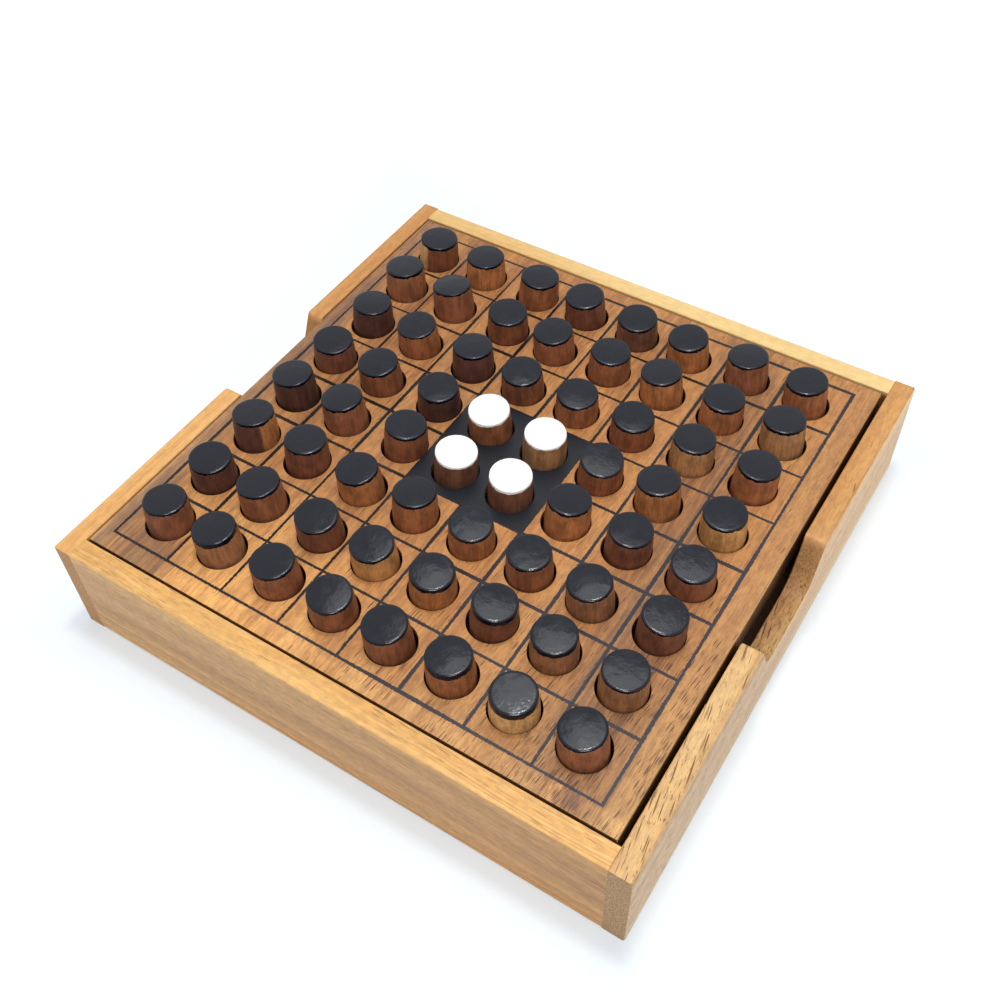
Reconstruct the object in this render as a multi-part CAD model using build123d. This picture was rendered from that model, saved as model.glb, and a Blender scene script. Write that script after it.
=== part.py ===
from build123d import *
import math
import os
import random

# A peg reversi set: an open wooden box, a lift-out board with blind holes, and 64 two-coloured pegs.
# X runs along the front wall, Y from front to back, Z up. The origin is under the middle of the box.
# All sizes are in millimetres.

# Box
BOX_WIDTH = 185.0
BOX_DEPTH = 184.2
BOX_HEIGHT = 36.0
WALL = {"left": 6.1, "right": 6.5, "front": 6.7, "back": 6.3}   # thickness; front and back butt between the others
BASE_THICKNESS = 4.0
OUTER_EASE = 0.8            # rounding of the sanded outer edges
INNER_EASE = 0.25           # bevel of the rim's inner edges

# Finger notches in the left and right walls
NOTCH_LENGTH = 41.6         # at the rim
NOTCH_DEPTH = 15.0
NOTCH_SLOPE_RUN = 7.0       # horizontal run of each sloping end
NOTCH_RIM_RADIUS = 1.5
NOTCH_FLOOR_RADIUS = 8.0
NOTCH_SHIFT = {"left": 2.6, "right": 0.5}   # each notch was cut by eye, a little behind the middle

# Board, which lies loose in the box, pushed to the left
BOARD_THICKNESS = 13.0
BOARD_BELOW_RIM = 0.3
GAP_LEFT = 0.5
GAP_RIGHT = 1.7
GAP_FRONT = 0.8
GAP_BACK = 0.8
BOARD_EASE = 0.3            # of its top edges
BOARD_CORNER = 0.4          # of its upright edges
LEDGE_WIDTH = 6.0           # strips under the board's front and back edges

# Playing grid: the lines are even, but the drilled rows and columns crowd towards the middle
ROWS = 8
CELL = 19.85
GRID_SHIFT = (-2.2, 0.55)   # middle of the grid, from the middle of the box
COLUMN_DRIFT = (1.4, 0.9, 2.0, 0.7, -0.1, -0.9, -1.4, -1.2)
ROW_DRIFT = (1.0, 0.8, 0.2, 0.2, -0.5, -0.7, -0.5, -1.2)
HOLE_SCATTER = 0.35
HOLE_RADIUS = 7.3
HOLE_DEPTH = 9.7

# Pegs: barrels, widest half way up, so that either end fits a hole
PEG_LENGTH = 19.0
PEG_WAIST_RADIUS = 6.65
PEG_END_RADIUS = 6.2
PEG_FOOT_GAP = 0.05         # a leaning peg's foot, clear of the hole's floor
LEAN_MOST = 4.5             # degrees
LEAN_SIDE_SHIFT = 0.45      # a leaning peg rests towards the hole's rim on that side

# The pegs that lean most: heading from +X and lean, in degrees
STRONG_LEANS = {
    "b7": (150, 6.5), "c7": (-45, 4.5), "h7": (140, 4), "e6": (-50, 5), "f6": (-40, 4),
    "b5": (-110, 4), "d5": (-75, 4.5), "f5": (-40, 7), "a4": (165, 4), "c4": (30, 4.5),
    "d4": (-10, 4.5), "h8": (-175, 4), "e8": (-80, 4), "d1": (-60, 4.5), "e2": (-35, 4), "d2": (-75, 4),
}
SEED = 64

COLUMN_NAMES = "abcdefgh"
TINY = 0.001

board_top = BOX_HEIGHT - BOARD_BELOW_RIM
board_bottom = board_top - BOARD_THICKNESS
inner_left = -BOX_WIDTH / 2 + WALL["left"]
inner_right = BOX_WIDTH / 2 - WALL["right"]
inner_front = -BOX_DEPTH / 2 + WALL["front"]
inner_back = BOX_DEPTH / 2 - WALL["back"]
board_left = inner_left + GAP_LEFT
board_right = inner_right - GAP_RIGHT
board_front = inner_front + GAP_FRONT
board_back = inner_back - GAP_BACK


def block(low, high):
    """A square block between two corners."""
    size = [b - a for a, b in zip(low, high)]
    middle = [(a + b) / 2 for a, b in zip(low, high)]
    return Pos(*middle) * Box(*size)


def edges_at_x(solid, x):
    """The solid's edges that lie wholly in the plane at x."""
    boxes = [(edge, edge.bounding_box()) for edge in solid.edges()]
    return [edge for edge, box in boxes if abs(box.min.X - x) < TINY and abs(box.max.X - x) < TINY]


def notch_cutter(side):
    """The scooped finger notch as a solid that passes right through the wall, open at the top."""
    middle = NOTCH_SHIFT[side]
    half = NOTCH_LENGTH / 2
    floor = BOX_HEIGHT - NOTCH_DEPTH
    above = BOX_HEIGHT + 2 * NOTCH_RIM_RADIUS
    flank = FilletPolyline(
        (middle - half - NOTCH_SLOPE_RUN, BOX_HEIGHT),
        (middle - half, BOX_HEIGHT),
        (middle - half + NOTCH_SLOPE_RUN, floor),
        (middle + half - NOTCH_SLOPE_RUN, floor),
        (middle + half, BOX_HEIGHT),
        (middle + half + NOTCH_SLOPE_RUN, BOX_HEIGHT),
        radius=[NOTCH_RIM_RADIUS, NOTCH_FLOOR_RADIUS, NOTCH_FLOOR_RADIUS, NOTCH_RIM_RADIUS],
    )
    over = Polyline(flank @ 1, (middle + half + NOTCH_SLOPE_RUN, above),
                    (middle - half - NOTCH_SLOPE_RUN, above), flank @ 0)
    outline = make_face([flank, over])
    return extrude(Plane.YZ * outline, BOX_WIDTH, both=True)


def notched_wall(side):
    """Left or right wall: full depth of the box, with a finger notch and eased edges."""
    if side == "left":
        outside, inside = -BOX_WIDTH / 2, inner_left
    else:
        outside, inside = BOX_WIDTH / 2, inner_right
    low = (min(outside, inside), -BOX_DEPTH / 2, 0)
    high = (max(outside, inside), BOX_DEPTH / 2, BOX_HEIGHT)
    wall = block(low, high) - notch_cutter(side)
    wall = fillet(edges_at_x(wall, outside), OUTER_EASE)
    rim = [e for e in edges_at_x(wall, inside) if e.center().Z > BOX_HEIGHT / 4 and not is_upright(e)]
    return chamfer(rim, INNER_EASE)


def is_upright(edge):
    """True for a straight edge along Z."""
    return edge.geom_type == GeomType.LINE and abs((edge % 0.5).Z) > 0.999


def plain_wall(side):
    """Front or back wall, butted between the notched walls."""
    if side == "front":
        outside, inside = -BOX_DEPTH / 2, inner_front
    else:
        outside, inside = BOX_DEPTH / 2, inner_back
    low = (inner_left, min(outside, inside), 0)
    high = (inner_right, max(outside, inside), BOX_HEIGHT)
    wall = block(low, high)
    long_edges = wall.edges().filter_by(Axis.X)
    outer = [e for e in long_edges if abs(e.center().Y - outside) < INNER_EASE]
    wall = fillet(outer, OUTER_EASE)
    top_inner = [e for e in wall.edges().filter_by(Axis.X)
                 if abs(e.center().Y - inside) < INNER_EASE and e.center().Z > BOX_HEIGHT / 2]
    return chamfer(top_inner, INNER_EASE)


def base_panel():
    """Thin panel let in between the four walls, level with their feet."""
    return block((inner_left, inner_front, 0), (inner_right, inner_back, BASE_THICKNESS))


def ledge(side):
    """Strip glued to the inside of the front or back wall, which carries the board."""
    if side == "front":
        low_y, high_y = inner_front, inner_front + LEDGE_WIDTH
    else:
        low_y, high_y = inner_back - LEDGE_WIDTH, inner_back
    return block((inner_left, low_y, BASE_THICKNESS), (inner_right, high_y, board_bottom))


def hole_centres():
    """Where each hole was drilled, by (column, row)."""
    chance = random.Random(SEED)
    places = {}
    for row in range(ROWS):
        for column in range(ROWS):
            x = GRID_SHIFT[0] + (column - (ROWS - 1) / 2) * CELL + COLUMN_DRIFT[column]
            y = GRID_SHIFT[1] + (row - (ROWS - 1) / 2) * CELL + ROW_DRIFT[row]
            x += chance.uniform(-HOLE_SCATTER, HOLE_SCATTER)
            y += chance.uniform(-HOLE_SCATTER, HOLE_SCATTER)
            places[column, row] = (x, y)
    return places


def playing_board(places):
    """Thick board with an eased outline and 64 blind holes."""
    board = block((board_left, board_front, board_bottom), (board_right, board_back, board_top))
    board = fillet(board.edges().filter_by(Axis.Z), BOARD_CORNER)
    board = fillet(board.faces().sort_by(Axis.Z)[-1].edges(), BOARD_EASE)
    drill = Cylinder(HOLE_RADIUS, HOLE_DEPTH + 1, align=(Align.CENTER, Align.CENTER, Align.MIN))
    floor = board_top - HOLE_DEPTH
    return board - [Pos(x, y, floor) * drill for x, y in places.values()]


def peg_shape():
    """A barrel, standing on its foot at the origin."""
    half = PEG_LENGTH / 2
    side = ThreePointArc((PEG_END_RADIUS, 0), (PEG_WAIST_RADIUS, half), (PEG_END_RADIUS, PEG_LENGTH))
    rest = Polyline(side @ 1, (0, PEG_LENGTH), (0, 0), side @ 0)
    return revolve(Plane.XZ * make_face([side, rest]), Axis.Z)


def standing_peg(shape, square, place, chance):
    """The peg of a square in its hole, leaning its own way or a little in a random one."""
    lean = LEAN_MOST * math.sqrt(chance.random())
    heading = chance.uniform(0, 360)
    spin = chance.uniform(0, 360)
    heading, lean = STRONG_LEANS.get(square, (heading, lean))
    shift = LEAN_SIDE_SHIFT * min(1, lean / LEAN_MOST)
    dip = PEG_END_RADIUS * math.sin(math.radians(lean))
    floor = board_top - HOLE_DEPTH + PEG_FOOT_GAP
    half = PEG_LENGTH / 2
    tilt = Rot(0, 0, heading) * Rot(0, lean, 0)
    x = place[0] + shift * math.cos(math.radians(heading))
    y = place[1] + shift * math.sin(math.radians(heading))
    return Pos(x, y, floor + dip + half) * tilt * Rot(0, 0, spin) * Pos(0, 0, -half) * shape


def pegs(places):
    """Each peg by name. The front and back rows are one group each, the rest are single."""
    chance = random.Random(SEED + 1)
    shape = peg_shape()
    nodes = {}
    for (column, row), place in places.items():
        square = f"{COLUMN_NAMES[column]}{row + 1}"
        name = f"pegs_row_{row + 1}" if row in (0, ROWS - 1) else f"peg_{square}"
        nodes.setdefault(name, []).append(standing_peg(shape, square, place, chance))
    return {name: group[0] if len(group) == 1 else Compound(children=group) for name, group in nodes.items()}


def main():
    places = hole_centres()
    nodes = {
        "notched_wall_left": notched_wall("left"),
        "notched_wall_right": notched_wall("right"),
        "plain_wall_front": plain_wall("front"),
        "plain_wall_back": plain_wall("back"),
        "base_panel": base_panel(),
        "ledge_front": ledge("front"),
        "ledge_back": ledge("back"),
        "playing_board": playing_board(places),
    }
    nodes.update(pegs(places))
    os.makedirs("parts", exist_ok=True)
    for name, shape in nodes.items():
        export_step(shape, f"parts/{name}.step")
        print(name, round(shape.volume, 1))


main()
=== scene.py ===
import math
import random

import bmesh
import bpy
import numpy as np
from mathutils import Matrix, Vector, noise


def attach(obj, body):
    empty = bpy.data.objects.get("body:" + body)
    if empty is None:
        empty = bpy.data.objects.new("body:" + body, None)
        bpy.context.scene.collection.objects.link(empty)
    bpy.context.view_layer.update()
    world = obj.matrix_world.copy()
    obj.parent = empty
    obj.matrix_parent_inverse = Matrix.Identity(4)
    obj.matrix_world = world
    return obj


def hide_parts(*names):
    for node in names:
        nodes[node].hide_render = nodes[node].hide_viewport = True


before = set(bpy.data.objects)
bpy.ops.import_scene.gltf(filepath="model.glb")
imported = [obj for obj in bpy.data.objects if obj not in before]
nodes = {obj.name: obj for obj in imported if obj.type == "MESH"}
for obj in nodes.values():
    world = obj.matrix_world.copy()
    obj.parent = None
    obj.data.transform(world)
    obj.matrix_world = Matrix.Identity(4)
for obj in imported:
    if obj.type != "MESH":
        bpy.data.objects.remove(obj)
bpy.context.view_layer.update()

# A peg reversi set. Lengths are in metres, and those inside materials in millimetres.
MM = 0.001

# The photograph's camera, seen from the middle of the box's underside
CAMERA_EYE = Vector((0.1285, -0.1928, 0.2997))
CAMERA_AIM = Vector((-0.3628, 0.5378, -0.7610))
CAMERA_ROLL = -2.17          # degrees
CAMERA_LENS = 42.72          # mm, on a sensor 36 mm wide
CAMERA_SHIFT = (-0.0004, -0.0184)

# The grid painted on the board, in millimetres
CELL = 19.85
GRID_MIDDLE = (-2.2, 0.55)
GRID_ROWS = 8
LINE_WIDTH = 0.95

# Heights and places on the object, in millimetres
RIM = 36.0                   # top of the walls
BOARD_TOP = 35.7
BOARD_MIDDLE = (-0.8, 0.2)
NOTCH_MIDDLE = 0.5           # of the right notch, along the wall

WOOD_IOR = 1.39
PAINT_IOR = 1.43

COLUMNS = "abcdefgh"
PEG_COUNT = GRID_ROWS ** 2
WHITE_UP = {"d4", "e4", "d5", "e5"}

# Which pegs are cut from which wood, as far as the photograph shows a difference
PEG_WOODS = {
    "blackish": ((0.068, 0.027, 0.019), "a4 a6 c5"),
    "dusky": ((0.098, 0.037, 0.027), "a2 a3 c6"),
    "smoky": ((0.157, 0.068, 0.040), "e8 d4 e4"),
    "dark": ((0.156, 0.056, 0.031), "d8 f2 g4 c2 b3 a5 h3"),
    "umber": ((0.207, 0.073, 0.034), "c1 f6 d1 a8 h4 b5 e1 c4 c7 d6 b7"),
    "brown": ((0.244, 0.090, 0.041), "a1 e7 h1 g8 b2 b4 a7 f5 f3 d7"),
    "red": ((0.286, 0.104, 0.041), "f1 h6 d5 b6 h8 c8 e6"),
    "russet": ((0.340, 0.127, 0.049), "g7 e3 d3"),
    "tan": ((0.292, 0.130, 0.059), "g2 h2 b1 g3"),
    "orange": ((0.383, 0.152, 0.053), "f4 b8 e2 g5 f8 c3 f7"),
    "pale": ((0.375, 0.190, 0.079), "h7 e5 g6"),
    "straw": ((0.510, 0.265, 0.092), "h5 d2"),
    "cream": ((0.600, 0.355, 0.146), "g1"),
}
TWO_TONED = {"a3": (50, 0.19, "orange"), "a8": (215, 0.62, "cream")}   # heading of the sapwood, its edge, its wood

# How far the paint runs down a peg's side, in millimetres, where it runs further than on most
PAINT_RUNS = {"b1": 2.0, "f1": 2.2, "g1": 2.4, "f2": 2.1, "g2": 1.9, "e2": 1.7}


class Shader:
    """One material's node tree. Each call adds a node and returns its output socket."""

    def __init__(self, name):
        self.material = bpy.data.materials.new(name)
        self.material.use_nodes = True
        self.tree = self.material.node_tree
        self.tree.nodes.clear()
        self.object_space = self.tree.nodes.new("ShaderNodeTexCoord")

    def node(self, kind, inputs, result=0, **settings):
        made = self.tree.nodes.new(kind)
        for key, value in settings.items():
            setattr(made, key, value)
        for key, value in inputs.items():
            if isinstance(value, bpy.types.NodeSocket):
                self.tree.links.new(value, made.inputs[key])
            else:
                made.inputs[key].default_value = value
        return made.outputs[result] if made.outputs else None

    def math(self, operation, a, b=0.0):
        return self.node("ShaderNodeMath", {0: a, 1: b}, operation=operation)

    def plus(self, a, b):
        return self.math("ADD", a, b)

    def minus(self, a, b):
        return self.math("SUBTRACT", a, b)

    def times(self, a, b):
        return self.math("MULTIPLY", a, b)

    def most(self, a, b):
        return self.math("MAXIMUM", a, b)

    def least(self, a, b):
        return self.math("MINIMUM", a, b)

    def apart(self, a, b=0.0):
        """How far a is from b, whichever is larger."""
        return self.math("ABSOLUTE", self.minus(a, b))

    def distance(self, x, y, spot):
        """How far the surface is from an upright line through this spot."""
        ends = {0: self.join(x, y, 0.0), 1: (*spot, 0.0)}
        return self.node("ShaderNodeVectorMath", ends, result="Value", operation="DISTANCE")

    def vector(self, operation, a, b=(0, 0, 0)):
        return self.node("ShaderNodeVectorMath", {0: a, 1: b}, operation=operation)

    def parts(self, vector):
        """The three components of a vector."""
        split = self.node("ShaderNodeSeparateXYZ", {0: vector}).node
        return split.outputs[0], split.outputs[1], split.outputs[2]

    def join(self, x, y, z):
        return self.node("ShaderNodeCombineXYZ", {0: x, 1: y, 2: z})

    def place(self):
        """Where the surface is in the object's own space, in millimetres."""
        return self.vector("MULTIPLY", self.object_space.outputs["Object"], (1 / MM,) * 3)

    def facing(self):
        """The surface's normal in the object's own space."""
        return self.object_space.outputs["Normal"]

    def step(self, value, low, high, to_low=0.0, to_high=1.0):
        """A smooth step from to_low to to_high, as value goes from low to high."""
        ends = {"Value": value, "From Min": low, "From Max": high, "To Min": to_low, "To Max": to_high}
        return self.node("ShaderNodeMapRange", ends, interpolation_type="SMOOTHSTEP")

    def noise(self, vector, size, detail=2.0, rough=0.5, seed=0.0):
        """Noise whose features are about size long on each axis."""
        scaled = self.vector("DIVIDE", vector, size)
        moved = self.vector("ADD", scaled, (seed, seed * 0.37, seed * 0.71))
        return self.node("ShaderNodeTexNoise", {"Vector": moved, "Scale": 1.0, "Detail": detail, "Roughness": rough})

    def pores(self, vector, size, width, seed=0.0, share=1.0):
        """1 inside drop-shaped pores of mixed sizes and 0 outside. That share of the cells of this size has one."""
        scaled = self.vector("DIVIDE", vector, size)
        moved = self.vector("ADD", scaled, (seed, seed * 0.53, seed * 0.29))
        cell = self.node("ShaderNodeTexVoronoi", {"Vector": moved, "Scale": 1.0}, result="Distance").node
        chance = self.parts(cell.outputs["Color"])[0]
        reach = self.step(chance, self.minus(0.95, share), 1.05, 0.0, width)
        return self.step(cell.outputs["Distance"], reach, self.times(reach, 0.5))

    def mix(self, share, a, b, blend="MIX"):
        return self.node("ShaderNodeMix", {0: share, 6: a, 7: b}, result=2, data_type="RGBA", blend_type=blend)

    def tint(self, share, colour, by):
        """The colour multiplied by another one, to that share."""
        return self.mix(share, colour, by, "MULTIPLY")

    def mix_numbers(self, share, a, b):
        return self.node("ShaderNodeMix", {0: share, 2: a, 3: b}, result=0, data_type="FLOAT")

    def bump(self, height, depth, strength):
        """A normal from a height of 0 to 1 that stands for that depth in metres."""
        return self.node("ShaderNodeBump", {"Height": height, "Distance": depth, "Strength": strength})

    def surface(self, colour, roughness, normal, **more):
        """The one shader of the material. more holds its other inputs, with _ for a space in their names."""
        ends = {"Base Color": colour, "Roughness": roughness, "Normal": normal}
        ends.update({key.replace("_", " "): value for key, value in more.items()})
        shader = self.node("ShaderNodeBsdfPrincipled", ends)
        self.node("ShaderNodeOutputMaterial", {"Surface": shader})
        return self.material


def rgb(red, green, blue):
    """An opaque colour in linear light."""
    return (red, green, blue, 1.0)


def grain_space(shader, along):
    """The place as (along the grain, across it in the plane, up), in millimetres."""
    x, y, z = shader.parts(shader.place())
    return shader.join(y, x, z) if along == "Y" else shader.join(x, y, z)


def timber(shader, space, look, face=None, area=1.0):
    """Colour and relief of plain sawn wood whose grain runs along the first axis of space.

    face is 1 on a wall's outer face. area is below 1 where there are fewer pores.
    """
    seed = look["seed"]
    along, across, up = shader.parts(space)

    # Growth rings around the pith, broad bands and narrow streaks
    drift = shader.noise(space, (90, 22, 22), 2.0, 0.5, seed)
    pith_across, pith_up = look["pith"]
    bend = shader.times(shader.minus(drift, 0.5), look["wander"])
    side = shader.plus(shader.minus(across, pith_across), bend)
    rise = shader.minus(up, pith_up)
    radius = shader.math("SQRT", shader.plus(shader.math("POWER", side, 2), shader.math("POWER", rise, 2)))
    turns = shader.math("DIVIDE", radius, look["ring"])
    rings = shader.node("ShaderNodeTexNoise", {"W": turns, "Scale": 1.0, "Detail": 4.0, "Roughness": 0.7},
                        noise_dimensions="1D")
    broad = shader.noise(space, (140, 14, 14), 2.0, 0.5, seed + 3)
    streak = shader.noise(space, (45, 1.5, 1.5), 3.0, 0.6, seed + 4)
    level = shader.plus(shader.times(rings, 0.45), shader.times(broad, 0.30))
    level = shader.step(shader.plus(level, shader.times(streak, 0.25)), 0.38, 0.62)
    colour = shader.mix(level, look["dark"], look["light"])
    # Outer faces get greyer, bluer colours, partly the wood's own and partly painted light
    if face is not None:
        colour = shader.mix(face, colour, shader.mix(level, look["face_dark"], look["face_light"]))

    # Thin veins along the rings, a soft mottle and fine fibres
    vein = shader.step(shader.apart(rings, 0.47), 0.035, 0.008)
    vein = shader.times(vein, shader.step(broad, 0.40, 0.60, look["vein"], look["vein"] * 0.25))
    colour = shader.mix(vein, colour, look["vein_colour"])
    mottle = shader.step(shader.noise(space, (3.4, 1.5, 1.5), 4.0, 0.65, seed + 21), 0.36, 0.64)
    mottle = shader.mix(mottle, rgb(0.82, 0.80, 0.85), rgb(1.10, 1.08, 1.05))
    colour = shader.tint(look["mottle"], colour, mottle)
    fibre = shader.noise(space, look["fibre_size"], 4.0, 0.7, seed + 5)
    shade = shader.step(fibre, 0.34, 0.66, 1.0 - look["fibre"], 1.0 + look["fibre"] * 0.6)
    colour = shader.tint(1.0, colour, shader.join(shade, shade, shade))

    # Pores run at a small slant to the rest of the grain
    lengthwise = shader.plus(along, shader.times(across, look["slant"]))
    sideways = shader.minus(across, shader.times(along, look["slant"]))
    slanted = shader.join(lengthwise, sideways, up)
    crowd = shader.step(shader.noise(space, (70, 9, 9), 1.0, 0.5, seed + 11), *look["pore_crowd"])
    crowd = shader.times(crowd, area)
    pore = shader.pores(slanted, look["pore_size"], look["pore_width"], seed + 7, crowd)
    fleck = shader.noise(slanted, look["fleck_size"], 2.0, 0.55, seed + 13)
    fleck = shader.times(shader.step(fleck, 0.60, 0.66), crowd)
    pore = shader.most(pore, shader.times(fleck, look["fleck"]))
    depth = look["pore_depth"]
    if face is not None:
        depth = shader.step(face, 0, 1, depth, depth * 0.5)
    colour = shader.mix(shader.times(pore, depth), colour, look["pore"])
    relief = shader.minus(shader.times(fibre, 0.35), pore)
    return colour, relief


def wall_material(name, along, look):
    """Oiled wood of one wall: its top, its outer face, its end grain and its notch differ."""
    shader = Shader(name)
    space = grain_space(shader, along)
    along_wall = shader.parts(space)[0]
    nx, ny, _ = shader.parts(shader.facing())
    x, y, z = shader.parts(shader.place())
    below_rim = shader.minus(RIM, z)
    across_normal, end_normal, side, lengthwise = (nx, ny, x, y) if along == "Y" else (ny, nx, y, x)
    outward = shader.times(across_normal, shader.math("SIGN", side))
    face = shader.step(outward, 0.62, 0.88)
    not_face = shader.minus(1.0, face)
    area = shader.most(shader.step(y, *look["pores_fade"], 0.2, 1.0), shader.step(below_rim, 2, 4, 0.0, 0.26))
    colour, relief = timber(shader, space, look, face, area)

    # The top's tint changes along the wall, partly the wood's own tone and partly painted light and shade; the face's
    # changes towards its far end and by height
    start, finish, first, last = look["top"]
    top = shader.mix(shader.step(along_wall, start, finish), first, last)
    colour = shader.tint(not_face, colour, top)
    colour = shader.tint(shader.times(shader.step(along_wall, *look["far_ends"]), face), colour, look["far_face"])
    height = shader.plus(z, shader.times(shader.noise(space, (60, 9, 9), 2.0, 0.5, 31.0), 12))
    belt = shader.mix(shader.step(height, 7, 13), look["foot"], rgb(1, 1, 1))
    belt = shader.mix(shader.step(shader.apart(height, 25), 9, 3), belt, look["belt"])
    colour = shader.tint(face, colour, belt)

    # Below the rim, the sawn notch is browner with fuzzy fibres, and the inner face is painted darker, as shade
    sawn = shader.times(shader.step(below_rim, 1, 3), not_face)
    colour = shader.tint(shader.times(sawn, 0.9), colour, rgb(0.65, 0.61, 0.53))
    fuzz = shader.step(shader.noise(space, (2.2, 0.55, 0.55), 4.0, 0.72, look["seed"] + 29), 0.46, 0.64)
    colour = shader.tint(shader.times(sawn, fuzz), colour, rgb(0.56, 0.43, 0.35))
    inside = shader.step(shader.apart(side), 90.5, 87.0)
    colour = shader.tint(shader.times(sawn, inside), colour, rgb(0.86, 0.77, 0.76))
    inner_shade = shader.times(shader.step(outward, -0.45, -0.85), shader.step(below_rim, 0.7, 1.7))
    colour = shader.tint(inner_shade, colour, rgb(0.50, 0.44, 0.38))

    # End grain shows at the ends, and in part on the notch's slopes
    end = shader.step(shader.apart(end_normal), 0.60, 0.95)
    outer_end = shader.step(shader.apart(lengthwise), 88, 91)
    speck = shader.noise(space, (2.0, 0.40, 0.40), 3.0, 0.75, look["seed"] + 17)
    dots = shader.pores(space, (6, 0.75, 0.95), 0.36, look["seed"] + 19)
    end_colour = shader.mix(shader.step(speck, 0.40, 0.60), look["end_dark"], look["end_light"])
    end_colour = shader.mix(shader.times(dots, 0.55), end_colour, look["pore"])
    colour = shader.mix(shader.times(end, shader.step(outer_end, 0, 1, 0.30, 1.0)), colour, end_colour)
    roughness = shader.step(speck, 0.3, 0.7, look["rough"] - 0.06, look["rough"] + 0.08)
    normal = shader.bump(relief, 0.12 * MM, 0.5)
    return shader.surface(colour, roughness, normal, IOR=WOOD_IOR)


# The woods. Places and sizes are in millimetres, and a size is (along the grain, across it, up). "top" and "far_ends"
# say from where to where along a wall its tint changes, partly as painted light and shade, and "pores_fade" over which
# y the pores get fewer. The outer faces' colours, greyer and bluer than the tops, are partly the wood's and partly
# painted light.
WALL = {
    "fibre_size": (5.0, 0.26, 0.26), "pores_fade": (1, 0), "far_ends": (-20, 60), "far_face": rgb(1, 1, 1),
    "foot": rgb(1, 1, 1), "belt": rgb(0.95, 0.95, 0.98)}
LEFT_WALL = {
    **WALL, "seed": 11.3, "pith": (-120, -20), "ring": 7.0, "wander": 9.0, "rough": 0.46,
    "dark": rgb(0.76, 0.40, 0.138), "light": rgb(0.88, 0.51, 0.20),
    "top": (-30, 40, rgb(1, 1, 0.95), rgb(0.77, 0.68, 0.61)),
    "face_dark": rgb(0.60, 0.36, 0.17), "face_light": rgb(0.72, 0.47, 0.24),
    "end_dark": rgb(0.40, 0.180, 0.052), "end_light": rgb(0.69, 0.340, 0.101),
    "vein": 0.25, "vein_colour": rgb(0.50, 0.24, 0.08), "fibre": 0.07, "mottle": 0.6, "slant": 0.05,
    "fleck_size": (4, 0.22, 0.22), "fleck": 0.5, "pore": rgb(0.30, 0.14, 0.055), "pore_size": (6, 0.8, 0.8),
    "pore_width": 0.32, "pore_crowd": (0.45, 0.62), "pore_depth": 0.5}
FRONT_WALL = {
    **WALL, "seed": 23.7, "pith": (-40, 70), "ring": 4.6, "wander": 14.0, "rough": 0.46,
    "dark": rgb(0.71, 0.38, 0.118), "light": rgb(0.84, 0.50, 0.185),
    "top": (35, 58, rgb(1, 1, 0.97), rgb(1.10, 1.13, 1.13)),
    "face_dark": rgb(0.71, 0.405, 0.164), "face_light": rgb(0.88, 0.530, 0.222),
    "far_ends": (-90, 80), "far_face": rgb(0.84, 0.785, 0.74), "foot": rgb(1.10, 1.02, 0.90),
    "belt": rgb(0.91, 0.88, 0.93), "end_dark": rgb(0.30, 0.17, 0.09), "end_light": rgb(0.50, 0.30, 0.16),
    "vein": 0.6, "vein_colour": rgb(0.40, 0.19, 0.07), "fibre": 0.07, "mottle": 0.7, "slant": -0.06,
    "fleck_size": (7, 0.22, 0.22), "fleck": 0.8, "pore": rgb(0.22, 0.115, 0.065), "pore_size": (7, 0.42, 0.42),
    "pore_width": 0.46, "pore_crowd": (0.36, 0.60), "pore_depth": 0.65}
BACK_WALL = {
    **WALL, "seed": 37.1, "pith": (60, 160), "ring": 9.0, "wander": 8.0, "rough": 0.5,
    "dark": rgb(0.80, 0.535, 0.215), "light": rgb(0.88, 0.62, 0.28),
    "top": (-60, 25, rgb(0.93, 0.88, 0.81), rgb(1.06, 1.11, 1.17)),
    "face_dark": rgb(0.66, 0.45, 0.24), "face_light": rgb(0.76, 0.54, 0.30),
    "end_dark": rgb(0.40, 0.25, 0.12), "end_light": rgb(0.60, 0.40, 0.21),
    "vein": 0.45, "vein_colour": rgb(0.60, 0.35, 0.12), "fibre": 0.06, "mottle": 0.4, "slant": 0.03,
    "fleck_size": (4, 0.25, 0.25), "fleck": 0.4, "pore": rgb(0.5, 0.3, 0.12), "pore_size": (8, 0.9, 0.9),
    "pore_width": 0.24, "pore_crowd": (0.5, 0.7), "pore_depth": 0.4}
# The right wall's outer face is painted lighter, above 1 at its far end, as light from the right
RIGHT_WALL = {
    **WALL, "seed": 41.9, "pith": (150, 60), "ring": 6.0, "wander": 8.0, "rough": 0.5,
    "dark": rgb(0.68, 0.40, 0.165), "light": rgb(0.80, 0.53, 0.245),
    "top": (-30, 40, rgb(1.02, 1.04, 1.02), rgb(0.84, 0.67, 0.51)),
    "face_dark": rgb(0.81, 0.525, 0.273), "face_light": rgb(0.96, 0.677, 0.394), "far_face": rgb(1.26, 1.25, 1.23),
    "end_dark": rgb(0.30, 0.164, 0.071), "end_light": rgb(0.66, 0.405, 0.188),
    "vein": 0.4, "vein_colour": rgb(0.50, 0.27, 0.11), "fibre": 0.10, "mottle": 0.7, "slant": -0.17,
    "fleck_size": (2.4, 0.42, 0.42), "fleck": 0.8, "pore": rgb(0.15, 0.068, 0.028), "pore_size": (9.5, 0.52, 0.60),
    "pore_width": 0.60, "pores_fade": (5, -85), "pore_crowd": (0.14, 0.42), "pore_depth": 0.92}
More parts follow.
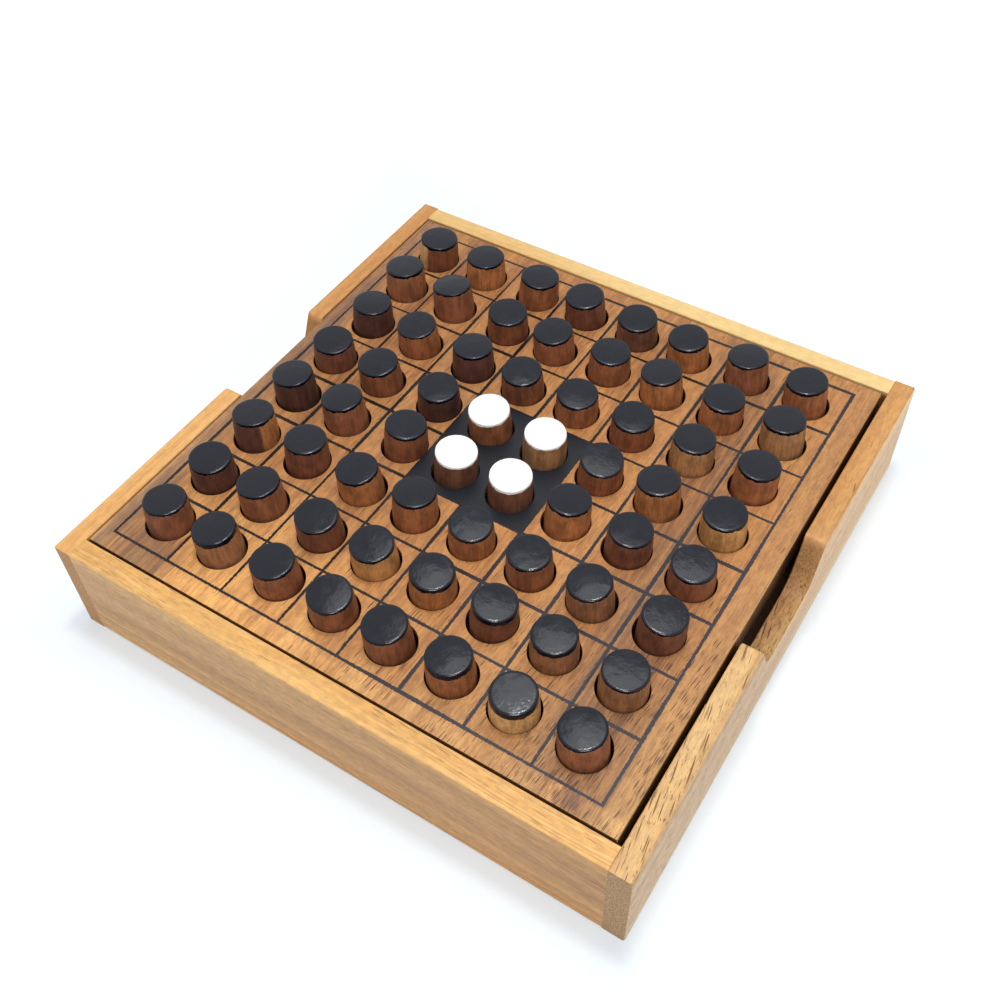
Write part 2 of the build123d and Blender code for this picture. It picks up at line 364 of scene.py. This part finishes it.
BOARD = {
    "seed": 53.3, "pith": (-230, -60), "ring": 11.0, "wander": 16.0,
    "dark": rgb(0.55, 0.255, 0.084), "light": rgb(0.71, 0.370, 0.128),
    "vein": 0.3, "vein_colour": rgb(0.30, 0.13, 0.055), "fibre": 0.14, "mottle": 1.0, "slant": 0.10,
    "fleck_size": (2.2, 0.22, 0.22), "fleck": 0.6, "pore": rgb(0.115, 0.048, 0.028), "pore_size": (4.6, 0.36, 0.50),
    "pore_width": 0.60, "pore_crowd": (0.26, 0.54), "pore_depth": 0.85, "fibre_size": (9.0, 0.36, 0.36)}
RAW = {
    "seed": 91.0, "pith": (30, -90), "ring": 3.0, "wander": 5.0, "fibre_size": (5.0, 0.26, 0.26),
    "vein": 0.3, "fibre": 0.15, "mottle": 0.5, "slant": 0.04,
    "fleck_size": (3, 0.25, 0.25), "fleck": 0.6, "pore": rgb(0.12, 0.07, 0.04), "pore_size": (5, 0.9, 0.9),
    "pore_width": 0.22, "pore_crowd": (0.4, 0.6), "pore_depth": 0.5}


def board_shades(shader, colour, space, x, y, near_right):
    """The broad light and dark areas of the board's wood."""
    colour = shader.tint(shader.step(near_right, 95, 175), colour, rgb(0.80, 0.83, 0.91))
    long_grain = shader.step(shader.noise(space, (13, 0.40, 0.40), 2.0, 0.5, 91.0), 0.59, 0.67)
    long_grain = shader.times(long_grain, shader.step(near_right, 160, 188, 0.0, 0.65))
    colour = shader.mix(long_grain, colour, rgb(0.13, 0.052, 0.032))

    # One stripe is lighter, right of the middle, and one darker, left of it
    behind = shader.step(y, -55, -30)
    light = shader.times(shader.step(shader.apart(x, 17), 22, 10), behind)
    light = shader.times(light, shader.step(y, 54, 36))
    colour = shader.tint(light, colour, rgb(1.12, 1.13, 1.12))
    dim = shader.times(shader.step(shader.apart(x, -30), 24, 12), behind)
    colour = shader.tint(dim, colour, rgb(0.89, 0.87, 0.89))

    # The wood is lightest at the front, more so to the left, and along the front edge
    front = shader.times(shader.step(y, -30, -80), shader.step(x, 40, -60, 0.35, 1.0))
    colour = shader.tint(1.0, colour, shader.mix(front, rgb(0.81, 0.76, 0.75), rgb(1.17, 1.19, 1.14)))
    edge = shader.times(shader.step(y, -78, -81), shader.step(x, -40, 40, 0.5, 1.0))
    colour = shader.tint(edge, colour, rgb(1.24, 1.31, 1.32))

    # The margins outside the grid, left and right
    colour = shader.tint(shader.step(x, -80, -82), colour, rgb(0.96, 1.06, 1.34))
    beside = shader.mix(shader.step(y, -25, -45), rgb(0.94, 0.98, 1.06), rgb(1.12, 1.18, 1.19))
    return shader.tint(shader.step(x, 75, 79), colour, beside)


def board_streaks(shader, colour, space, x, y, smoke):
    """The dark streaks of the board's wood. smoke is slow noise around 0 that bends them."""
    wisp = shader.noise(space, (38, 1.6, 1.6), 4.0, 0.65, 77.0)
    fray = shader.minus(wisp, 0.5)

    # A dark band slants down between the last two columns, and a weaker one between the first two
    streaky = shader.step(wisp, 0.38, 0.60, 0.45, 1.0)
    from_band = shader.plus(shader.plus(x, shader.times(y, 0.155)), -56.5)
    from_band = shader.apart(shader.plus(from_band, shader.times(smoke, 16)))
    band = shader.times(shader.step(from_band, 17, 3), shader.step(y, -84, -60, 0.55, 1.0))
    colour = shader.tint(shader.times(band, streaky), colour, rgb(0.52, 0.52, 0.66))
    from_second = shader.apart(shader.plus(shader.plus(x, 62), shader.times(smoke, 10)))
    second = shader.times(shader.step(from_second, 6, 2), shader.step(y, -35, -5))
    colour = shader.tint(shader.times(second, streaky), colour, rgb(0.66, 0.64, 0.78))

    # A dark streak runs along the left line and spreads in the near left corner
    from_line = shader.plus(shader.plus(x, 82.4), shader.times(smoke, 7))
    from_line = shader.apart(shader.plus(from_line, shader.times(fray, 5)))
    near_half = shader.step(y, -48, -58, 0.55, 1.0)
    far_half = shader.step(shader.apart(y, 22), 34, 22, 0.35, 0.85)
    streak = shader.times(shader.step(from_line, 6.5, 1.5), shader.most(near_half, far_half))
    away = shader.plus(shader.distance(x, y, (-71.0, -79.5)), shader.times(smoke, 12))
    away = shader.plus(away, shader.times(fray, 16))
    streak = shader.most(streak, shader.step(away, 16, 5))
    streak = shader.times(streak, shader.step(wisp, 0.36, 0.60, 0.80, 0.60))
    colour = shader.mix(streak, colour, rgb(0.115, 0.058, 0.048))

    # A pale patch and a small dark mark lie at the front edge, near the right corner
    patch = shader.times(shader.step(shader.apart(x, 65.5), 3.2, 1.5), shader.step(y, -77, -79))
    colour = shader.tint(patch, colour, rgb(1.30, 1.32, 1.34))
    mark = shader.plus(shader.distance(x, y, (70.5, -81.5)), shader.times(smoke, 5))
    return shader.mix(shader.times(shader.step(mark, 3.6, 1.2), 0.6), colour, rgb(0.13, 0.065, 0.055))


def board_painted_shading(shader, colour, x, y, below_top, smoke):
    """Paints shade into the drilled holes, the sides and the underside, and light near the right side's top edge.

    Returns the colour, where it is a side or the underside, and where the surface is smooth.
    """
    nx, ny, nz = shader.parts(shader.facing())
    outward = shader.most(shader.apart(x, BOARD_MIDDLE[0]), shader.apart(y, BOARD_MIDDLE[1]))
    outside = shader.step(outward, 82.0, 83.0)
    under = shader.step(nz, -0.5, -0.9)
    not_top = shader.most(outside, under)
    holes = shader.minus(1.0, not_top)
    # Painted shade: the holes' walls are darker below the top
    hole_shade = shader.times(shader.step(below_top, 0.1, 0.7), holes)
    colour = shader.mix(shader.times(hole_shade, 0.65), colour, rgb(0.10, 0.042, 0.02))

    # The right side is painted lighter near its top edge, as light reaching into the gap, and all sides and the
    # underside are painted darker below their top edge, as shade
    right_side = shader.times(shader.step(nx, 0.6, 0.9), outside)
    painted_side_light = shader.times(right_side, shader.step(below_top, 2.9, 1.5, 0.15, 0.75))
    colour = shader.mix(painted_side_light, colour, rgb(0.88, 0.52, 0.24))
    sides = shader.times(not_top, shader.step(below_top, 0.8, 2.1))
    colour = shader.tint(sides, colour, rgb(0.36, 0.31, 0.33))

    # Painted shade, near black: along the front side's top edge in the front gap, on the right side, most at the
    # notch, and deep in the holes
    front_side = shader.times(shader.step(ny, -0.6, -0.9), outside)
    front_gap_shade = shader.times(front_side, shader.step(below_top, 2.9, 1.7, 0.0, 0.80))
    notch_zone = shader.plus(shader.apart(y, NOTCH_MIDDLE), shader.times(smoke, 16))
    notch_zone = shader.step(notch_zone, 29, 12)
    # The right side's painted shade is strongest at the notch
    held = shader.times(right_side, shader.step(notch_zone, 0, 1, 0.20, 0.84))
    deep_shade = shader.step(shader.minus(below_top, shader.times(notch_zone, 0.5)), 0.9, 3.1, 0.0, 0.97)
    deep_shade = shader.times(deep_shade, shader.most(holes, held))
    colour = shader.mix(shader.most(front_gap_shade, deep_shade), colour, rgb(0.014, 0.007, 0.007))
    return colour, sides, shader.most(holes, shader.times(right_side, notch_zone))


def board_material():
    """The board: orange-brown wood with dark streaks, a painted grid and a painted middle."""
    shader = Shader("board_oiled")
    space = grain_space(shader, "Y")
    x, y, z = shader.parts(shader.place())
    below_top = shader.minus(BOARD_TOP, z)
    near_right = shader.minus(x, shader.times(y, 1.6))
    smoke = shader.minus(shader.noise(space, (45, 7, 7), 3.0, 0.6, 71.0), 0.5)
    colour, relief = timber(shader, space, BOARD, area=shader.step(near_right, 70, 190, 0.18, 1.0))
    colour = board_shades(shader, colour, space, x, y, near_right)
    colour = board_streaks(shader, colour, space, x, y, smoke)
    colour, sides, smooth = board_painted_shading(shader, colour, x, y, below_top, smoke)

    # The lines are painted lighter and greyer towards the near right, as sheen, and are browner towards the far left,
    # where they are worn
    lines, dark_middle = grid_masks(shader, x, y, below_top)
    sheen_and_wear = shader.step(shader.minus(x, shader.times(y, 0.5)), -10, 80)
    colour = shader.mix(lines, colour, shader.mix(sheen_and_wear, rgb(0.007, 0.004, 0.003), rgb(0.030, 0.025, 0.032)))
    colour = shader.mix(dark_middle, colour, rgb(0.010, 0.012, 0.018))

    rough_top = shader.step(shader.most(lines, dark_middle), 0.0, 1.0, 0.5, 0.40)
    rough_below = shader.step(below_top, 0.9, 0.3, shader.step(smooth, 0, 1, 0.5, 0.25), 1.0)
    # The sides and underside also reflect less, which darkens them further as painted shade
    shine = shader.mix(sides, rgb(1, 1, 1), rgb(0.25, 0.22, 0.20))
    normal = shader.bump(relief, 0.10 * MM, 0.4)
    return shader.surface(colour, shader.least(rough_top, rough_below), normal, IOR=WOOD_IOR, Specular_Tint=shine)


def grid_masks(shader, x, y, below_top):
    """Where the grid's lines and the four dark middle cells are painted, with slightly ragged edges."""
    edge = shader.noise(shader.place(), (0.35, 0.7, 0.6), 3.0, 0.7, 83.0)
    spread = shader.noise(shader.place(), (40, 40, 40), 1.0, 0.5, 87.0)
    rag = shader.plus(shader.times(shader.minus(edge, 0.5), 0.85), shader.step(spread, 0.35, 0.65, 0.06, -0.13))
    half_grid = GRID_ROWS / 2 * CELL
    half_line = LINE_WIDTH / 2
    u = shader.minus(x, GRID_MIDDLE[0])
    v = shader.minus(y, GRID_MIDDLE[1])
    reach = shader.plus(shader.most(shader.apart(u), shader.apart(v)), rag)
    on_u = shader.math("PINGPONG", u, CELL)
    on_v = shader.math("PINGPONG", v, CELL)
    gap_u = shader.least(on_u, shader.minus(CELL, on_u))
    gap_v = shader.least(on_v, shader.minus(CELL, on_v))
    thinner = shader.step(shader.minus(y, x), 70, 150, 0.0, 0.14)
    nearest = shader.plus(shader.least(gap_u, gap_v), shader.plus(rag, thinner))
    line = shader.step(nearest, half_line + 0.08, half_line - 0.08)
    within = shader.step(reach, half_grid + half_line + 0.1, half_grid + half_line - 0.1)
    on_top = shader.step(below_top, 0.4, 0.2)
    middle = shader.step(reach, CELL + 0.1, CELL - 0.1)
    return shader.times(shader.times(line, within), on_top), shader.times(middle, on_top)


def plain_wood(name, light, dark):
    """Unfinished wood inside the box, painted darker towards the notches as shade from the walls. It shows only with
    the board lifted out.
    """
    shader = Shader(name)
    look = {**RAW, "dark": dark, "light": light, "vein_colour": dark}
    colour, relief = timber(shader, grain_space(shader, "X"), look)
    across = shader.apart(shader.parts(shader.place())[0])
    # Painted shade: darker towards the notched walls
    colour = shader.tint(shader.step(across, 58, 76), colour, rgb(0.30, 0.27, 0.26))
    return shader.surface(colour, 0.7, shader.bump(relief, 0.15 * MM, 0.5), IOR=WOOD_IOR)


SEED_SPREAD = 400            # millimetres of noise over which the pegs' own woods lie


def peg_material(half_length):
    """A peg: streaked wood, with a black painted end up its own +Z and a white one down."""
    shader = Shader("peg_painted")
    tone = shader.node("ShaderNodeAttribute", {}, result="Color", attribute_name="wood").node
    seed = shader.times(tone.outputs["Alpha"], SEED_SPREAD)
    local = shader.node("ShaderNodeAttribute", {}, result="Vector", attribute_name="own")
    x, y, z = shader.parts(local)
    own = shader.join(shader.plus(z, seed), shader.plus(x, seed), shader.plus(y, seed))
    streak = shader.noise(own, (16, 1.1, 1.1), 4.0, 0.65)
    fibre = shader.noise(own, (3.5, 0.18, 0.18), 3.0, 0.65, 3.0)
    blotch = shader.noise(own, (6, 3.5, 3.5), 3.0, 0.6, 5.0)
    level = shader.plus(shader.times(streak, 0.4), shader.times(blotch, 0.6))
    shade = shader.step(level, 0.36, 0.64, 0.68, 1.40)
    colour = shader.tint(1.0, tone.outputs["Color"], shader.join(shade, shade, shade))
    thread = shader.step(fibre, 0.34, 0.66, 0.84, 1.12)
    colour = shader.tint(1.0, colour, shader.join(thread, thread, thread))
    pore = shader.pores(own, (2.6, 0.42, 0.42), 0.26, 2.0)
    colour = shader.mix(shader.times(pore, 0.6), colour, rgb(0.03, 0.014, 0.01))

    # Paint runs a little way down the side, with a ragged edge
    wave = shader.noise(own, (1.5, 1.8, 1.8), 3.0, 0.6, 9.0)
    rag = shader.times(shader.minus(wave, 0.5), 1.5)
    level = shader.plus(shader.apart(z), rag)
    run = shader.node("ShaderNodeAttribute", {}, result="Fac", attribute_name="paint")
    painted = shader.step(shader.plus(level, run), half_length, half_length + 0.12)
    black_end = shader.math("GREATER_THAN", z, 0.0)
    paint = shader.mix(black_end, rgb(0.94, 0.94, 0.92), rgb(0.0010, 0.0030, 0.0100))
    colour = shader.mix(painted, colour, paint)
    gloss = shader.step(blotch, 0.35, 0.65, 0.13, 0.24)
    roughness = shader.mix_numbers(painted, 0.55, gloss)
    skin = shader.noise(own, (1.1, 1.1, 1.1), 3.0, 0.55, 13.0)
    relief = shader.minus(shader.times(fibre, 0.3), pore)
    normal = shader.bump(shader.mix_numbers(painted, relief, skin), 0.10 * MM, 0.45)

    # The paint on the side reflects less than on the end, which keeps the band below the rim dark as painted shade
    below_rim = shader.step(shader.apart(z), half_length - 0.35, half_length - 0.65)
    shine = shader.mix(shader.times(painted, below_rim), rgb(1, 1, 1), rgb(0.2, 0.2, 0.22))
    return shader.surface(colour, roughness, normal, IOR=PAINT_IOR, Specular_Tint=shine)


def peg_places(node):
    """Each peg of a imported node, from left to right: its middle, its axis towards its top end, and its sizes."""
    points = np.array([v.co for v in node.data.vertices], float)
    points = points[np.argsort(points[:, 0])]
    breaks = np.nonzero(np.diff(points[:, 0]) > 2 * MM)[0] + 1
    return [peg_axis(np.unique(np.round(group, 7), axis=0)) for group in np.split(points, breaks)]


def peg_axis(points):
    """Middle, axis and sizes of one barrel from its vertices."""
    rough = points.mean(0)
    axis = np.linalg.svd(points - rough)[2][0]
    if axis[2] < 0:
        axis = -axis
    level = (points - rough) @ axis
    top = points[level > level.max() - 0.5 * MM].mean(0)
    foot = points[level < level.min() + 0.5 * MM].mean(0)
    length = np.linalg.norm(top - foot)
    axis = (top - foot) / length
    middle = (top + foot) / 2
    out = points - middle
    away = np.linalg.norm(out - np.outer(out @ axis, axis), axis=1)
    ends = away[np.abs(out @ axis) > length / 2 - 0.5 * MM]
    return {"middle": Vector(middle), "axis": Vector(axis), "half": length / 2, "end": ends.max(), "waist": away.max()}


SEGMENTS = 48                 # around a peg
SIDE_STEPS = 8
RIM_STEPS = 8
CAP_STEPS = 7
DENT = 0.085 * MM             # how far the painted ends and the sides sink in at the most
DENT_SIZE = 2.2 * MM


def peg_profile(form, chance):
    """(radius, height) from the middle of the foot to the middle of the top, with rounded rims."""
    rim = chance.uniform(0.38, 0.52) * MM
    reach = chance.uniform(0.70, 1.15) * MM
    dome = chance.uniform(0.12, 0.30) * MM
    flat = form["end"] - reach
    upper = []
    for i in range(SIDE_STEPS + 1):
        height = (form["half"] - dome - rim) * i / SIDE_STEPS
        upper.append((form["waist"] - (form["waist"] - form["end"]) * (height / form["half"]) ** 2, height))
    edge, shoulder = upper[-1]
    for i in range(1, RIM_STEPS + 1):
        turn = math.pi / 2 * i / RIM_STEPS
        upper.append((flat + (edge - flat) * math.cos(turn), shoulder + rim * math.sin(turn)))
    for i in range(CAP_STEPS - 1, 0, -1):
        radius = flat * i / CAP_STEPS
        upper.append((radius, form["half"] - dome * (radius / flat) ** 2))
    lower = [(radius, -height) for radius, height in reversed(upper[1:])]
    return lower + upper


def add_peg(build, place, square, seed):
    """Adds one peg to the bmesh. Its own +Z is the black end, which points down if it is flipped."""
    flipped = square in WHITE_UP
    wood_at = wood_of(square)
    chance = random.Random(seed)
    upright = Vector((0, 0, 1)).rotation_difference(place["axis"]).to_matrix().to_4x4()
    spin = Matrix.Rotation(chance.uniform(0, math.tau), 4, "Z")
    over = Matrix.Rotation(math.pi if flipped else 0.0, 4, "X")
    to_row = Matrix.Translation(place["middle"]) @ upright @ spin @ over
    shift = Vector([chance.uniform(-50, 50) for _ in range(3)])
    lighter = chance.uniform(0.93, 1.07)
    run = PAINT_RUNS.get(square, chance.uniform(1.05, 1.40))
    own, colour = build.verts.layers.float_vector["own"], build.verts.layers.float_color["wood"]
    paint = build.verts.layers.float["paint"]

    def vertex(spot):
        made = build.verts.new(to_row @ spot)
        made[own] = spot / MM
        wood = wood_at(made.co - place["middle"])
        made[colour] = (*(value * lighter for value in wood), (seed % PEG_COUNT) / PEG_COUNT)
        made[paint] = run
        return made

    profile = peg_profile(place, chance)
    rings = []
    for index, (radius, height) in enumerate(profile):
        before, after = profile[max(index - 1, 0)], profile[min(index + 1, len(profile) - 1)]
        out = Vector((after[1] - before[1], before[0] - after[0])).normalized()
        ring = []
        for i in range(SEGMENTS):
            angle = math.tau * i / SEGMENTS
            round_ = Vector((math.cos(angle), math.sin(angle), 0))
            spot = round_ * radius + Vector((0, 0, height))
            sink = DENT * (0.5 + 0.5 * noise.noise(spot / DENT_SIZE + shift))
            ring.append(vertex(spot - (round_ * out[0] + Vector((0, 0, out[1]))) * sink))
        rings.append(ring)
    foot, top = (vertex(Vector((0, 0, side * (place["half"] - DENT / 2)))) for side in (-1, 1))
    for low, high in zip(rings, rings[1:]):
        for i in range(SEGMENTS):
            j = (i + 1) % SEGMENTS
            build.faces.new((low[i], low[j], high[j], high[i]))
    for i in range(SEGMENTS):
        j = (i + 1) % SEGMENTS
        build.faces.new((foot, rings[0][j], rings[0][i]))
        build.faces.new((top, rings[-1][i], rings[-1][j]))


def peg_squares(name):
    """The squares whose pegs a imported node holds, from left to right."""
    if name.startswith("pegs_row_"):
        return [column + name[-1] for column in COLUMNS]
    return [name[-2:]]


def wood_of(square):
    """A function that gives the peg's wood colour in any direction from its middle."""
    plain = next(tone for tone, squares in PEG_WOODS.values() if square in squares.split())
    if square not in TWO_TONED:
        return lambda out: plain
    heading, edge, name = TWO_TONED[square]
    towards = Vector((math.cos(math.radians(heading)), math.sin(math.radians(heading))))
    sapwood = PEG_WOODS[name][0]
    return lambda out: sapwood if out.to_2d().normalized().dot(towards) > edge else plain


def build_pegs():
    """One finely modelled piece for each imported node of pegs."""
    material = None
    for name in sorted(n for n in nodes if n.startswith("peg")):
        places = peg_places(nodes[name])
        squares = peg_squares(name)
        assert len(places) == len(squares), name
        build = bmesh.new()
        build.verts.layers.float_vector.new("own")
        build.verts.layers.float_color.new("wood")
        build.verts.layers.float.new("paint")
        for place, square in zip(places, squares):
            number = COLUMNS.index(square[0]) + GRID_ROWS * int(square[1])
            add_peg(build, place, square, number)
        for face in build.faces:
            face.smooth = True
        mesh = bpy.data.meshes.new(name + "_finish")
        build.to_mesh(mesh)
        build.free()
        piece = bpy.data.objects.new(name + "_finish", mesh)
        bpy.context.scene.collection.objects.link(piece)
        material = material or peg_material(places[0]["half"] / MM)
        mesh.materials.append(material)
        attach(piece, name)
        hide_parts(name)


def paint_cad():
    """Gives each packed wooden node its material."""
    finishes = {
        "notched_wall_left": wall_material("left_wall_oiled", "Y", LEFT_WALL),
        "notched_wall_right": wall_material("right_wall_oiled", "Y", RIGHT_WALL),
        "plain_wall_front": wall_material("front_wall_oiled", "X", FRONT_WALL),
        "plain_wall_back": wall_material("back_wall_oiled", "X", BACK_WALL),
        "playing_board": board_material(),
        "base_panel": plain_wood("plywood_raw", rgb(0.30, 0.18, 0.090), rgb(0.21, 0.12, 0.057)),
        "ledge_front": plain_wood("strip_raw", rgb(0.32, 0.18, 0.085), rgb(0.22, 0.11, 0.050)),
    }
    finishes["ledge_back"] = finishes["ledge_front"]
    for name, material in finishes.items():
        for held in nodes[name].material_slots:
            held.material = material


def camera():
    """The photograph's view."""
    data = bpy.data.cameras.new("camera")
    data.sensor_width = 36.0
    data.lens = CAMERA_LENS
    data.shift_x, data.shift_y = CAMERA_SHIFT
    data.clip_start, data.clip_end = 0.01, 20.0
    made = bpy.data.objects.new("camera", data)
    level = CAMERA_AIM.to_track_quat("-Z", "Y")
    made.rotation_mode = "QUATERNION"
    made.rotation_quaternion = level @ Matrix.Rotation(math.radians(CAMERA_ROLL), 4, "Z").to_quaternion()
    made.location = CAMERA_EYE
    bpy.context.scene.collection.objects.link(made)
    bpy.context.scene.camera = made


def lamp(name, size, power, place):
    """A square soft light that looks at the middle of the box's underside."""
    data = bpy.data.lights.new(name, "AREA")
    data.shape = "SQUARE"
    data.size = size
    data.energy = power
    made = bpy.data.objects.new(name, data)
    made.location = place
    made.rotation_mode = "QUATERNION"
    made.rotation_quaternion = (-Vector(place)).to_track_quat("-Z", "Y")
    bpy.context.scene.collection.objects.link(made)


# Lamps: edge length in metres, power in watts, place in metres
LAMPS = {
    "key": (0.20, 2.75, (0.25, -0.34, 0.74)),
    "ceiling": (0.46, 1.5, (-0.04, 0.16, 0.86)),
    "spark": (0.10, 1.8, (0.02, 0.05, 0.90)),
}
WORLD_LIGHT = 0.40

# How much the floor glows for the camera, which keeps it white where nothing shades it
GLOW_AT_FOOT = 0.18
GLOW_NEAR = 0.255
GLOW_FAR = 0.55
FLOOR_HALF = 3.0             # metres


def white_world(lit):
    """A plain world that lights the object at this strength, and that is seen and mirrored as white."""
    world = bpy.data.worlds.new("studio")
    world.use_nodes = True
    tree = world.node_tree
    tree.nodes.clear()
    path = tree.nodes.new("ShaderNodeLightPath")
    seen = path.outputs["Is Camera Ray"]
    for other in ("Is Glossy Ray", "Is Transmission Ray"):
        either = tree.nodes.new("ShaderNodeMath")
        either.operation = "MAXIMUM"
        tree.links.new(seen, either.inputs[0])
        tree.links.new(path.outputs[other], either.inputs[1])
        seen = either.outputs[0]
    strength = tree.nodes.new("ShaderNodeMapRange")
    tree.links.new(seen, strength.inputs["Value"])
    strength.inputs["To Min"].default_value = lit
    strength.inputs["To Max"].default_value = 1.0
    sky = tree.nodes.new("ShaderNodeBackground")
    sky.inputs["Color"].default_value = rgb(1, 1, 1)
    tree.links.new(strength.outputs[0], sky.inputs["Strength"])
    out = tree.nodes.new("ShaderNodeOutputWorld")
    tree.links.new(sky.outputs[0], out.inputs["Surface"])
    bpy.context.scene.world = world


def floor():
    """A pale floor that shows as white further out, and keeps the object's soft shadow."""
    build = bmesh.new()
    corners = ((-1, -1), (1, -1), (1, 1), (-1, 1))
    build.faces.new([build.verts.new((x * FLOOR_HALF, y * FLOOR_HALF, 0)) for x, y in corners])
    mesh = bpy.data.meshes.new("floor")
    build.to_mesh(mesh)
    build.free()
    made = bpy.data.objects.new("floor", mesh)
    bpy.context.scene.collection.objects.link(made)
    shader = Shader("floor_white")
    path = shader.tree.nodes.new("ShaderNodeLightPath")
    matt = shader.node("ShaderNodeBsdfDiffuse", {"Color": rgb(0.72, 0.785, 0.85)})
    x, y, _ = shader.parts(shader.place())
    away = shader.most(shader.apart(x), shader.apart(y))
    # The glow is weakest near the foot, which paints part of the shade around the box
    near = shader.step(away, 92, 120, GLOW_AT_FOOT, GLOW_NEAR)
    glow = shader.plus(near, shader.step(away, 120, 300, 0.0, GLOW_FAR))
    shine = shader.node("ShaderNodeEmission", {"Color": rgb(0.90, 0.98, 1.0), "Strength": glow})
    both = shader.node("ShaderNodeAddShader", {0: matt, 1: shine})
    seen = shader.node("ShaderNodeMixShader", {0: path.outputs["Is Camera Ray"], 1: matt, 2: both})
    shader.node("ShaderNodeOutputMaterial", {"Surface": seen})
    mesh.materials.append(shader.material)


paint_cad()
build_pegs()
camera()
white_world(WORLD_LIGHT)
for name, (size, power, place) in LAMPS.items():
    lamp(name, size, power, place)
floor()
bpy.context.scene.view_settings.view_transform = "Standard"
